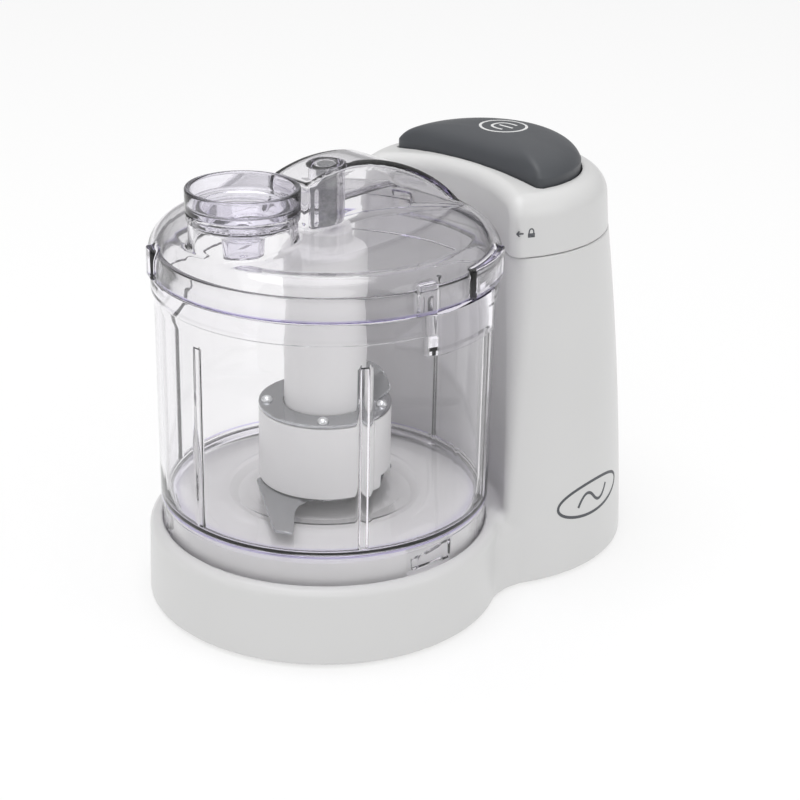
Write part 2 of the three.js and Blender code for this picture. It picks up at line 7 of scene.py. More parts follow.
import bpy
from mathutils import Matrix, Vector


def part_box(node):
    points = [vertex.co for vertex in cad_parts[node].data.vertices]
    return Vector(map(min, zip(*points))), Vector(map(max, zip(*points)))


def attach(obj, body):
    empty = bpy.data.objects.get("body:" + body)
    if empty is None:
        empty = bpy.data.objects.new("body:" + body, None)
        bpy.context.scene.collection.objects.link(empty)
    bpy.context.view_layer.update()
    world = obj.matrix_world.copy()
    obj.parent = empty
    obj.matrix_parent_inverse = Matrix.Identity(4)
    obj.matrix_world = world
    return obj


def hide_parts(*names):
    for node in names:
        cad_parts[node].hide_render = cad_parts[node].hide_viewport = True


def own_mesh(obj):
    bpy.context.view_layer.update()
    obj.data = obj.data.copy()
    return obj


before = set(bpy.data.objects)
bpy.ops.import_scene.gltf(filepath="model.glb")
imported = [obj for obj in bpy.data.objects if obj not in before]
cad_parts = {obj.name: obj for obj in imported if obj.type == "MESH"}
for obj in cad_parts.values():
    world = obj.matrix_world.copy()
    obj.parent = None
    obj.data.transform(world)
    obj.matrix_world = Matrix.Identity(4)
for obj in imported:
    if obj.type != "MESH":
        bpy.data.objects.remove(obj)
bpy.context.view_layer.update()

import math

import bpy
import numpy as np
from mathutils import Matrix, Vector

# ---------------------------------------------------------------- the machine's coordinates

MM = 0.001
PIN_LOW, PIN_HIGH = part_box("lid_bearing_pin")
ORIGIN = Vector(((PIN_LOW.x + PIN_HIGH.x) / 2, 0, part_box("base_housing")[0].z))


def span(node):
    """A node's lowest and highest corner in millimetres, in the machine's coordinates."""
    low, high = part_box(node)
    return (low - ORIGIN) / MM, (high - ORIGIN) / MM


# ---------------------------------------------------------------- driving dimensions, millimetres

HOUSING_LOW, HOUSING_HIGH = span("base_housing")
CAP_LOW, CAP_HIGH = span("tower_cap")
BUTTON_LOW, BUTTON_HIGH = span("power_button")
BOWL_LOW, BOWL_HIGH = span("bowl")
LID_LOW, LID_HIGH = span("lid")
PUSHER_TOP = span("food_pusher")[1].z
COLUMN_LOW, COLUMN_HIGH = span("blade_column")
HUB_LOW, HUB_HIGH = span("blade_hub")
UPPER_LOW, UPPER_HIGH = span("upper_blade")
LOWER_LOW, LOWER_HIGH = span("lower_blade")

DISH_R = -HOUSING_LOW.x
DISH_DRAFT = 0.6 / 23.4  # radius lost per mm of height
DISH_TOP = 27.7
DISH_SHOULDER = 3.8
WALL = 2.4
GROOVE_OUT = 57.9
GROOVE_IN = 55.0
GROOVE_Z = 20.0
OUTLET_Z, OUTLET_R, OUTLET_X = 18.0, 4.9, 110.0  # hole for the cord's gland
PLATEAU_TOP = 35.9

SEAM_Z = HOUSING_HIGH.z
TOWER_R = 62.0
TOWER_X = HOUSING_HIGH.x - TOWER_R
TOWER_SIDE = (60.0, -0.0594, -0.000385)  # radius of the tower's side as a polynomial of height
TOWER_LEAN = 2 / 120
FRONT_R = 64.0
WAIST_R = 11.0
CAP_X = TOWER_X + TOWER_LEAN * SEAM_Z
CAP_R = 47.2
CAP_TOP = CAP_HIGH.z
CAP_DOME = 0.001716  # drop of the cap's top per mm squared from its centre
CAP_SHOULDER = 7.0
CAP_WALL = 2.2
PIN_TURN, PIN_Z, PIN_HOLE_R = math.radians(19.5), 127.0, 2.7  # the interlock pin's hole in the cap

BUTTON_R = 36.0
BUTTON_FRONT = 68.6
BUTTON_SAG = 2.0
BUTTON_TOP = BUTTON_HIGH.z
BUTTON_DROP = (6.2, 1.8)  # of the pillow's slope and of its rounded edge
BUTTON_MID_X = 86.0
BUTTON_WALL = 2.6
BUTTON_INNER = 0.93  # share of the outline that the hollow underneath takes

BOWL_R = 58.4
BAND_Z = 113.0
BOWL_FLOOR = 38.8
BOWL_MOUTH = BOWL_HIGH.z
LID_EDGE = LID_LOW.z
LID_R = 60.0
LID_WALL = 2.0
LID_CROWN = 138.4
LID_DOME = 0.00104
LID_SHOULDER = 8.5
TAB_R = 61.5
LID_HUB_R = 5.7
LID_HUB_BORE = 3.9
CREST_X = 4.0
CREST_ARC = 59.8
CREST_Z = 97.0
RIDGE_LOW_X, RIDGE_HIGH_X = -17.2, 52.5
CHUTE_X = -36.5
CHUTE_R = 17.9
CHUTE_LIP = 18.6
CHUTE_TOP = 147.0
CHUTE_BORE = 16.1

COLUMN_R = 14.3
DRUM_R = 23.3
PLATE = 1.2
RIVET_R = 20.3
RIVET_ANGLES = (48, 141, 225, 303)
RIVET_HEAD = (2.1, 1.75)  # radius and height


# ---------------------------------------------------------------- shapes as distance formulas


def both(a, b, r):
    """The part inside both shapes, its edge rounded to radius r."""
    return np.minimum(-r, np.maximum(a, b)) + np.hypot(np.maximum(r + a, 0), np.maximum(r + b, 0))


def either(a, b, r):
    """The part inside at least one shape, the corner between them filled to radius r."""
    return -both(-a, -b, r)


def ramp(x, start, end):
    """0 before start and 1 after end, smooth in between."""
    t = np.clip((x - start) / (end - start), 0, 1)
    return t * t * (3 - 2 * t)


def spaced(*stops):
    """Grid lines: stops are alternately a place and the step used from there to the next place."""
    lines = [stops[0]]
    for start, step, end in zip(stops[:-2:2], stops[1:-1:2], stops[2::2]):
        count = max(1, round((end - start) / step))
        lines += list(start + (end - start) * np.arange(1, count + 1) / count)
    return np.array(lines, float)


CORNERS = [np.array((i, j, k)) for i in (0, 1) for j in (0, 1) for k in (0, 1)]
STEPS = np.eye(3, dtype=int)


def gradient(distance, points, reach=0.02):
    """Slope of a distance formula at the points, from a little to each side of them."""
    sides = [distance(*(points + reach * s).T) - distance(*(points - reach * s).T) for s in STEPS]
    return np.stack(sides, -1) / (2 * reach)


def skin(distance, lines):
    """Points and quads where distance(x, y, z) is zero, one point for each grid cell that it crosses."""
    field = distance(*np.meshgrid(*lines, indexing="ij", sparse=True))
    inside = field < 0
    full = np.zeros([n - 1 for n in inside.shape], np.int8)
    for c in CORNERS:
        full += inside[tuple(slice(o, n - 1 + o) for o, n in zip(c, inside.shape))]
    cells = np.argwhere((full > 0) & (full < 8))
    number = np.full(full.shape, -1, np.int64)
    number[tuple(cells.T)] = np.arange(len(cells))

    total, crossings = np.zeros((len(cells), 3)), np.zeros(len(cells))
    for start in CORNERS:
        for step in STEPS:
            if (start + step).max() > 1:
                continue
            a, b = cells + start, cells + start + step
            at_a, at_b = field[tuple(a.T)], field[tuple(b.T)]
            hit = (at_a < 0) != (at_b < 0)
            share = (at_a[hit] / (at_a[hit] - at_b[hit]))[:, None]
            pa = np.stack([line[i] for line, i in zip(lines, a[hit].T)], -1)
            pb = np.stack([line[i] for line, i in zip(lines, b[hit].T)], -1)
            total[hit] += pa + share * (pb - pa)
            crossings[hit] += 1
    points = total / crossings[:, None]

    quads = []
    for k in range(3):
        u, v = STEPS[(k + 1) % 3], STEPS[(k + 2) % 3]
        here = [slice(1, n - 1) for n in inside.shape]
        there = list(here)
        here[k], there[k] = slice(0, inside.shape[k] - 1), slice(1, inside.shape[k])
        change = np.argwhere(inside[tuple(here)] != inside[tuple(there)])
        change[:, [(k + 1) % 3, (k + 2) % 3]] += 1
        quad = np.stack([number[tuple((change - o).T)] for o in (0 * u, u, u + v, v)], -1)
        outward = inside[tuple(change.T)]
        quads.append(np.where(outward[:, None], quad, quad[:, ::-1]))
    quads = np.concatenate(quads)

    for _ in range(5):
        slope = gradient(distance, points)
        move = distance(*points.T) / np.maximum((slope**2).sum(1), 0.05)
        points = points - np.clip(move, -0.6, 0.6)[:, None] * slope
    return points, quads


# ---------------------------------------------------------------- turned shapes


def rounded(corners, steps=6):
    """A line through (r, z, fillet) corners, each rounded by an arc of its fillet radius."""
    line = []
    for i, (r, z, fillet) in enumerate(corners):
        here = np.array((r, z), float)
        if fillet == 0 or i in (0, len(corners) - 1):
            line.append(here)
            continue
        before = np.array(corners[i - 1][:2]) - here
        after = np.array(corners[i + 1][:2]) - here
        room = min(np.linalg.norm(before), np.linalg.norm(after)) * 0.49
        before, after = before / np.linalg.norm(before), after / np.linalg.norm(after)
        half = math.acos(np.clip(before @ after, -1, 1)) / 2
        back = min(fillet / math.tan(half), room)
        centre = here + (before + after) / np.linalg.norm(before + after) * back / math.cos(half)
        start, end = here + before * back - centre, here + after * back - centre
        sweep = math.acos(np.clip(start @ end / (start @ start), -1, 1))
        for t in np.linspace(0, 1, steps):
            mix = (math.sin((1 - t) * sweep) * start + math.sin(t * sweep) * end) / math.sin(sweep)
            line.append(centre + mix)
    return np.array(line)


def levels(line, heights):
    """The same line with a point added wherever it crosses one of the heights."""
    out = [line[0]]
    for a, b in zip(line[:-1], line[1:]):
        cuts = sorted((h - a[1]) / (b[1] - a[1]) for h in heights if min(a[1], b[1]) < h < max(a[1], b[1]))
        out += [a + t * (b - a) for t in cuts if 1e-3 < t < 1 - 1e-3] + [b]
    return np.array(out)


def revolve(line, columns, alter=None, x=0.0, y=0.0):
    """Points and faces of a line of (r, z) turned about a vertical axis.

    columns is a number of even steps, or a list of angles in degrees. alter(r, z, angle) may change r
    and z. A line that ends on the axis is closed there, and one that ends where it began is a ring. It
    may run either way round: the faces are turned so that they enclose a positive volume.
    """
    if isinstance(columns, int):
        columns = np.arange(columns) * 360 / columns
    angles = np.unique(np.round(np.mod(columns, 360), 4))
    ring = np.allclose(line[0], line[-1])
    rows = line[:-1] if ring else line
    r, z = np.broadcast_arrays(rows[:, :1], 0 * angles)[0], np.broadcast_arrays(rows[:, 1:], 0 * angles)[0]
    if alter:
        r, z = alter(r.copy(), z.copy(), angles[None, :])
    turn = np.radians(angles)[None, :]
    points = np.stack([x + r * np.cos(turn), y + r * np.sin(turn), z + 0 * turn], -1).reshape(-1, 3)
    height, width = len(rows), len(angles)
    number = np.arange(height * width).reshape(height, width)
    for i in (0, height - 1):
        if rows[i, 0] < 1e-6:
            number[i] = number[i, 0]
    low, high = (number, np.roll(number, -1, 0)) if ring else (number[:-1], number[1:])
    faces = np.stack([low, high, np.roll(high, -1, 1), np.roll(low, -1, 1)], -1).reshape(-1, 4)
    a, b, c, d = (points[faces[:, k]] for k in range(4))
    volume = (a * np.cross(b, c) + a * np.cross(c, d)).sum()
    return points, faces if volume > 0 else faces[:, ::-1]


def around(angle, centre):
    """Degrees from centre, between -180 and 180."""
    return (angle - centre + 180) % 360 - 180


def near(angle, centre, half, flank):
    """1 within half degrees of centre, falling to 0 over a flank."""
    return 1 - ramp(np.abs(around(angle, centre)), half, half + flank)


def flanks(centre, half, flank, steps=4):
    """Column angles that follow both flanks of such a feature."""
    edge = np.linspace(half, half + flank, steps)
    return [centre + side * e for e in edge for side in (-1, 1)]


def between(z, low, high, slope=0.6):
    """1 between two heights and 0 outside them, with a slope inside each."""
    return ramp(z, low, low + slope) * (1 - ramp(z, high - slope, high))


# ---------------------------------------------------------------- materials


def tree(name):
    material = bpy.data.materials.new(name)
    material.use_nodes = True
    nodes = material.node_tree.nodes
    return material, nodes, material.node_tree.links, nodes["Principled BSDF"]


def noise(nodes, links, scale, detail=3.0, stretch=(1, 1, 1)):
    """Noise in object coordinates, which are metres here."""
    place = nodes.new("ShaderNodeTexCoord")
    mapping = nodes.new("ShaderNodeMapping")
    mapping.inputs["Scale"].default_value = stretch
    texture = nodes.new("ShaderNodeTexNoise")
    texture.inputs["Scale"].default_value = scale
    texture.inputs["Detail"].default_value = detail
    links.new(place.outputs["Object"], mapping.inputs["Vector"])
    links.new(mapping.outputs["Vector"], texture.inputs["Vector"])
    return texture.outputs["Fac"]


def shade(nodes, links, factor, low, high, first=0.3, last=0.7):
    """A ramp between two values or two colours."""
    node = nodes.new("ShaderNodeValToRGB")
    for element, place, value in zip(node.color_ramp.elements, (first, last), (low, high)):
        element.position = place
        element.color = (*value, 1) if isinstance(value, tuple) else (value, value, value, 1)
    links.new(factor, node.inputs["Fac"])
    return node.outputs["Color"]


def bump(nodes, links, factor, strength, distance, shader):
    node = nodes.new("ShaderNodeBump")
    node.inputs["Strength"].default_value = strength
    node.inputs["Distance"].default_value = distance
    links.new(factor, node.inputs["Height"])
    links.new(node.outputs["Normal"], shader.inputs["Normal"])


def plastic(name, low, high, rough, grain=1800.0, depth=0.1, coat=0.0):
    """Moulded plastic: faint mottling, a roughness that wanders, and a fine moulded grain."""
    material, nodes, links, shader = tree(name)
    links.new(shade(nodes, links, noise(nodes, links, 22), low, high), shader.inputs["Base Color"])
    links.new(shade(nodes, links, noise(nodes, links, 60), *rough), shader.inputs["Roughness"])
    bump(nodes, links, noise(nodes, links, grain, 2), depth, 0.00004, shader)
    shader.inputs["IOR"].default_value = 1.5
    shader.inputs["Coat Weight"].default_value = coat
    shader.inputs["Coat Roughness"].default_value = 0.12
    return material


def metal(name, low, high, rough, stretch=(1, 1, 1), scale=900.0, depth=0.15):
    """Rolled or brushed metal: streaks in the colour, the roughness and the surface."""
    material, nodes, links, shader = tree(name)
    streaks = noise(nodes, links, scale, 4, stretch)
    links.new(shade(nodes, links, streaks, low, high), shader.inputs["Base Color"])
    links.new(shade(nodes, links, noise(nodes, links, 120, 3, stretch), *rough), shader.inputs["Roughness"])
    shader.inputs["Metallic"].default_value = 1.0
    bump(nodes, links, streaks, depth, 0.00003, shader)
    return material


RIM_R = (51.0, 53.0)  # a clear part's painted dark rim shade fades in between these radii


def clear_plastic(name, face, tint, density, band=None):
    """Clear moulded plastic. Its tint builds up with depth, so edges look violet and faces clear.

    band is a pair of heights in millimetres between which the faces near the rim get a painted dark violet
    shade, standing in for the dark look of a moulded disc's edge seen through its thickness.
    """
    material, nodes, links, shader = tree(name)
    shader.inputs["Base Color"].default_value = (*face, 1)
    # painted shade: faces near the rim between the band's heights shift towards a dark violet colour
    if band:
        place = nodes.new("ShaderNodeTexCoord")
        split = nodes.new("ShaderNodeSeparateXYZ")
        links.new(place.outputs["Object"], split.inputs["Vector"])
        flat = nodes.new("ShaderNodeMapping")
        flat.inputs["Location"].default_value = (-ORIGIN.x, 0, 0)
        flat.inputs["Scale"].default_value = (1, 1, 0)
        links.new(place.outputs["Object"], flat.inputs["Vector"])
        reach = nodes.new("ShaderNodeVectorMath")
        reach.operation = "LENGTH"
        links.new(flat.outputs["Vector"], reach.inputs[0])
        edge = None
        soft = 0.1 * MM
        low, high = (ORIGIN.z + MM * z for z in band)
        for source, start, end in (
            (split.outputs["Z"], low - soft, low + soft),
            (split.outputs["Z"], high + soft, high - soft),
            (reach.outputs["Value"], RIM_R[0] * MM, RIM_R[1] * MM),
        ):
            step = nodes.new("ShaderNodeMapRange")
            step.inputs["From Min"].default_value = start
            step.inputs["From Max"].default_value = end
            links.new(source, step.inputs["Value"])
            if edge:
                links.new(edge, step.inputs["To Max"])
            edge = step.outputs["Result"]
        links.new(shade(nodes, links, edge, face, PAINTED_RIM_SHADE, 0.0, 1.0), shader.inputs["Base Color"])
    shader.inputs["Transmission Weight"].default_value = 1.0
    shader.inputs["IOR"].default_value = 1.52
    links.new(shade(nodes, links, noise(nodes, links, 35), 0.0, 0.035), shader.inputs["Roughness"])
    open_to_lamps = nodes.new("ShaderNodeBsdfTransparent")
    open_to_lamps.inputs["Color"].default_value = (0.985, 0.985, 0.985, 1)
    path = nodes.new("ShaderNodeLightPath")
    mix = nodes.new("ShaderNodeMixShader")
    out = nodes["Material Output"]
    links.new(path.outputs["Is Shadow Ray"], mix.inputs["Fac"])
    links.new(shader.outputs["BSDF"], mix.inputs[1])
    links.new(open_to_lamps.outputs["BSDF"], mix.inputs[2])
    links.new(mix.outputs["Shader"], out.inputs["Surface"])
    depth = nodes.new("ShaderNodeVolumeAbsorption")
    depth.inputs["Color"].default_value = (*tint, 1)
    depth.inputs["Density"].default_value = density
    links.new(depth.outputs["Volume"], out.inputs["Volume"])
    return material


WHITE = plastic(
    "white_plastic", (0.668, 0.667, 0.664), (0.682, 0.681, 0.678), (0.3, 0.34), depth=0.02, coat=0.15
)
# brighter white plastic for the blade hub and column, and a lit copy of the housing's white on the dish
# floor, painted light where the bowl's skirt shades it
HUB_AND_LIT_WHITE = plastic("hub_and_lit_white_plastic", (0.79, 0.787, 0.78), (0.805, 0.802, 0.796), (0.34, 0.38), depth=0.02)
INNER = plastic("inner_plastic", (0.7, 0.69, 0.66), (0.75, 0.74, 0.71), (0.45, 0.6))
DARK = plastic("dark_plastic", (0.058, 0.062, 0.07), (0.067, 0.072, 0.08), (0.36, 0.48), 2600, 0.2)
BLACK = plastic("black_plastic", (0.018, 0.018, 0.02), (0.028, 0.028, 0.03), (0.45, 0.6))
RUBBER = plastic("rubber", (0.02, 0.02, 0.021), (0.035, 0.035, 0.036), (0.7, 0.9), 1400, 0.5)
BOARD = plastic("board", (0.03, 0.11, 0.05), (0.05, 0.16, 0.07), (0.35, 0.5))
INK = plastic("grey_ink", (0.07, 0.075, 0.085), (0.09, 0.095, 0.105), (0.5, 0.6))
WHITE_INK = plastic("white_ink", (0.7, 0.7, 0.7), (0.78, 0.78, 0.78), (0.45, 0.55))
STEEL = metal(
    "steel", (0.42, 0.425, 0.44), (0.47, 0.475, 0.49), (0.1, 0.16), (1, 14, 1), 1500.0, 0.01
)
BRIGHT = metal("bright_steel", (0.75, 0.76, 0.78), (0.86, 0.87, 0.88), (0.12, 0.2))
IRON = metal("motor_steel", (0.2, 0.205, 0.21), (0.3, 0.305, 0.31), (0.35, 0.5))
BRONZE = metal("bronze", (0.42, 0.27, 0.13), (0.52, 0.35, 0.17), (0.35, 0.5))
# colour of the painted dark violet shade on a clear part's rim faces
PAINTED_RIM_SHADE = (0.5, 0.44, 0.8)
CLEAR_FACE, CLEAR_TINT = (0.984, 0.984, 0.98), (0.82, 0.75, 0.95)
# the bowl's floor rim and the lid's lower edge get the painted dark rim shade between these heights
BOWL_CLEAR = clear_plastic("bowl_plastic", CLEAR_FACE, CLEAR_TINT, 24.0, (37.7, 38.7))
LID_CLEAR = clear_plastic("lid_plastic", CLEAR_FACE, CLEAR_TINT, 36.0, (LID_EDGE - 0.5, LID_EDGE + 0.6))
PUSHER_CLEAR = clear_plastic("pusher_plastic", (0.94, 0.928, 0.972), (0.7, 0.66, 0.86), 24.0)


# ---------------------------------------------------------------- putting pieces in the frame


def show(name, shape, material, body, nodes=(), sharp=40.0):
    """Makes a piece of points in millimetres and faces, riding on a body and standing for CAD nodes."""
    points, faces = shape
    mesh = bpy.data.meshes.new(name)
    place = points * MM + np.array(ORIGIN)
    mesh.from_pydata(place.tolist(), [], [list(dict.fromkeys(map(int, f))) for f in faces])
    mesh.validate()
    mesh.shade_smooth()
    if sharp:
        mesh.set_sharp_from_angle(angle=math.radians(sharp))
    mesh.materials.append(material)
    piece = bpy.data.objects.new(name, mesh)
    bpy.context.scene.collection.objects.link(piece)
    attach(piece, body)
    if nodes:
        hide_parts(*nodes)
    return piece


# ---------------------------------------------------------------- housing


def concave_front(x, y):
    """Below zero where a point is outside the tower's hollow front, which is round the bowl's axis."""
    return FRONT_R - np.hypot(x, y)


def tower_radius(z):
    return TOWER_SIDE[0] + TOWER_SIDE[1] * z + TOWER_SIDE[2] * z * z


def housing_form(x, y, z):
    """The dish and the tower as one solid, with no top or bottom to the tower."""
    rho = np.hypot(x, y)
    dish = both(rho - DISH_R + DISH_DRAFT * np.minimum(z, DISH_TOP), z - DISH_TOP, DISH_SHOULDER)
    cone = np.hypot(x - TOWER_X - TOWER_LEAN * z, y) - tower_radius(z)
    front = either(concave_front(x, y), z - DISH_TOP, 1.6)
    tower = both(cone, front, 3.5 + 5.5 * ramp(z, 20, SEAM_Z))
    return either(dish, tower, WAIST_R - (WAIST_R - 2) * ramp(z, 19, DISH_TOP))


def housing(x, y, z):
    form = housing_form(x, y, z)
    shell = np.maximum(form, -(form + WALL))
    shell = both(shell, z - SEAM_Z, 0.5)
    shell = both(shell, HOUSING_LOW.z - z, 0.7)
    shell = both(shell, GROOVE_OUT - np.hypot(x, y), 0.6)
    outlet = np.maximum(np.hypot(y, z - OUTLET_Z) - OUTLET_R, OUTLET_X - x)
    return both(shell, -outlet, 0.4)


show(
    "housing_shell",
    skin(housing, [
        spaced(-DISH_R - 2, 0.95, HOUSING_HIGH.x + 2),
        spaced(-DISH_R - 2, 0.95, DISH_R + 2),
        spaced(-1.5, 0.6, 2, 1.6, 20, 0.7, 31, 2.4, 117.5, 0.42, 121.5),
    ]),
    WHITE, "base", ["base_housing"],
)

KEY_TURNS = (0, 120, 240)
KEY_NOTCH = (-93, 9.9, 0.6)  # centre, half width and flank in degrees


def dish_floor():
    """The groove for the bowl's skirt, a raised middle with three key notches, and the spindle's sleeve."""
    line = levels(rounded([
        (GROOVE_OUT + 1.4, 18, 0), (GROOVE_OUT + 1.4, 25, 0), (GROOVE_OUT + 0.05, 25, 0),
        (GROOVE_OUT + 0.05, GROOVE_Z, 0.8), (GROOVE_IN, GROOVE_Z, 0.8), (GROOVE_IN, PLATEAU_TOP, 1.2),
        (34, PLATEAU_TOP, 0.8), (31, PLATEAU_TOP - 1.5, 1.2), (9.2, PLATEAU_TOP - 1.5, 1.0),
        (7.6, 37, 0.8), (7.6, 60, 0.7), (5.6, 60, 0.5), (5.6, 21, 0), (9, 21, 0), (9, 31.8, 0.5),
        (52.6, 31.8, 1), (52.6, 18, 0), (GROOVE_OUT + 1.4, 18, 0),
    ]), (26, 26.8, 34))

    def notch(r, z, angle):
        centre, half, flank = KEY_NOTCH
        depth = sum(near(angle, turn + centre, half, flank) for turn in KEY_TURNS) * ramp(z, 26, 26.8)
        wall = (r > 54) & (r < 56) & (z > GROOVE_Z + 1)
        return np.where(wall, r - 1.6 * depth, r), z

    columns = list(np.arange(0, 360, 2.5))
    for turn in KEY_TURNS:
        columns += flanks(turn + KEY_NOTCH[0], *KEY_NOTCH[1:])
    return revolve(line, columns, notch)


# the dish floor takes the brighter plastic: painted light, a lit copy of the housing's white where the
# skirt shades it
show("dish_floor", dish_floor(), HUB_AND_LIT_WHITE, "base")


def cap_form(x, y, z):
    r = np.hypot(x - CAP_X, y)
    side = r - (CAP_R - (z - SEAM_Z) / 12)
    top = z - CAP_TOP + CAP_DOME * r**2
    return both(both(side, top, CAP_SHOULDER), concave_front(x, y), 5.0)


def button_edge(x, y, grow):
    """The button's half-moon outline: a round back and a front edge that curves in a little."""
    half = math.sqrt(BUTTON_R**2 - (CAP_X - BUTTON_FRONT) ** 2)
    sweep = (half**2 + BUTTON_SAG**2) / (2 * BUTTON_SAG)
    centre = BUTTON_FRONT + BUTTON_SAG - sweep
    back = np.hypot(x - CAP_X, y) - BUTTON_R
    return both(back, sweep - np.hypot(x - centre, y), 2.0) - grow


def tower_cap(x, y, z):
    form = cap_form(x, y, z)
    shell = np.maximum(form, -(form + CAP_WALL))
    shell = both(shell, CAP_LOW.z - z, 0.5)
    opening = button_edge(x, y, 0.5)
    shell = both(shell, -opening, 0.7)
    along = x * math.cos(PIN_TURN) + y * math.sin(PIN_TURN)
    across = y * math.cos(PIN_TURN) - x * math.sin(PIN_TURN)
    pin_hole = np.maximum(np.hypot(across, z - PIN_Z) - PIN_HOLE_R, along - 72)
    return both(shell, -pin_hole, 0.3)


show(
    "cap_shell",
    skin(tower_cap, [
        spaced(30, 0.75, CAP_HIGH.x + 1.5),
        spaced(CAP_LOW.y - 1.5, 0.75, CAP_HIGH.y + 1.5),
        spaced(119, 0.38, 122, 0.8, 128, 0.6, CAP_TOP + 1),
    ]),
    WHITE, "base", ["tower_cap"],
)


def button_reach(angle):
    """How far the button's outline is from its middle in each direction."""
    low, high = 0 * angle, 0 * angle + 60
    for _ in range(40):
        middle = (low + high) / 2
        out = button_edge(BUTTON_MID_X + middle * np.cos(angle), middle * np.sin(angle), 0) > 0
        low, high = np.where(out, low, middle), np.where(out, middle, high)
    return low


def pillow(share):
    """Height of the button's top at a share of the way from its middle to its edge."""
    return BUTTON_TOP - BUTTON_DROP[0] * share**4 - BUTTON_DROP[1] * share**20


def power_button():
    """A pillow over the half-moon, hollow from below: one closed shell from the top round to the inside."""
    turns, rings = 200, 44
    angle = np.arange(turns) * 2 * math.pi / turns
    low = button_reach(angle)
    reach = np.linspace(0, 1, rings) ** 0.7
    spread = np.sin(reach * math.pi / 2)
    rows = [(s, pillow(s)) for s in spread]
    rows += [(1.0, z) for z in (143.4, 142, 140, 137.2)] + [(0.995, 136.3), (0.985, 136.0)]
    rows += [(0.94, 136.0), (0.935, 138), (BUTTON_INNER, 141)]
    rows += [(BUTTON_INNER * s, pillow(s) - BUTTON_WALL) for s in np.linspace(0.98, 0, 12)]
    scale = np.array(rows)
    x = BUTTON_MID_X + scale[:, :1] * low * np.cos(angle)
    y = scale[:, :1] * low * np.sin(angle)
    points = np.stack([x, y, scale[:, 1:] + 0 * x], -1).reshape(-1, 3)
    number = np.arange(len(rows) * turns).reshape(len(rows), turns)
    number[0], number[-1] = number[0, 0], number[-1, 0]
    quads = np.stack([number[:-1], number[1:], np.roll(number[1:], -1, 1), np.roll(number[:-1], -1, 1)], -1)
    return points, quads.reshape(-1, 4)


show("button_cap", power_button(), DARK, "button", ["power_button"])
SPRING_X, SPRING_Y, STEM_X = 90.0, 20.0, 82.0
SEAT_Z, SEAT_R, STEM_R, STEM_TOP = 134.0, 4.0, 3.0, 149.0
SPRING_R, SPRING_WIRE, SPRING_TURNS = 2.7, 0.42, 7
for number, (x, y, r, low) in enumerate([
    (STEM_X, 0, STEM_R, BUTTON_LOW.z),
    (SPRING_X, -SPRING_Y, SEAT_R, SEAT_Z),
    (SPRING_X, SPRING_Y, SEAT_R, SEAT_Z),
]):
    line = rounded([(0, low, 0), (r, low, 0.5), (r, STEM_TOP, 0), (0, STEM_TOP, 0)])
    show(f"button_stem_{number + 1}", revolve(line, 32, x=x, y=y), DARK, "button")


def coil(x, y, low, high, radius, wire, turns, sides=8):
    """A compression spring standing on end, its wire closing up at both ends."""
    t = np.linspace(0, 1, turns * 20 + 1)[:, None]
    turn = 2 * math.pi * turns * t
    rise = low + wire + (high - low - 2 * wire) * (0.55 * t + 0.45 * ramp(t, 0, 1))
    section = 2 * math.pi * np.arange(sides)[None, :] / sides
    out = radius + wire * np.cos(section)
    points = np.stack([x + out * np.cos(turn), y + out * np.sin(turn), rise + wire * np.sin(section)], -1)
    number = np.arange(points[..., 0].size).reshape(len(t), sides)
    beside = np.roll(number, -1, 1)
    quads = np.stack([number[:-1], number[1:], beside[1:], beside[:-1]], -1).reshape(-1, 4).tolist()
    return points.reshape(-1, 3), quads + [number[0].tolist(), number[-1, ::-1].tolist()]


for number, side in enumerate((-1, 1)):
    low, high = span(f"button_spring_{number + 1}")
    foot = (SPRING_X, side * SPRING_Y, low.z)
    shape = coil(*foot[:2], low.z, high.z, SPRING_R, SPRING_WIRE, SPRING_TURNS)
    spring = show(f"spring_{number + 1}", shape, STEEL, "base", [f"button_spring_{number + 1}"])
    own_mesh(spring)


# ---------------------------------------------------------------- bowl

RIB_TURNS = range(0, 360, 60)
RIB_HALF = math.degrees(0.9 / 56)
RIB_FLANK = 0.9
RIB_DEPTH = 1.1
RIB_TOP = 105.0
PAD = (-81.5, 14.0)  # centre and half width in degrees, as in KEY
PAD_FLANK = 4.8
PAD_R, PAD_Z = 61.0, 106.0
KEY = (-92.8, 8.4)
KEY_DEPTH = 1.5
FLOOR_WALL = 1.1
FLOOR_DIP = 1.5  # how much lower the bowl's floor is round its centre tube


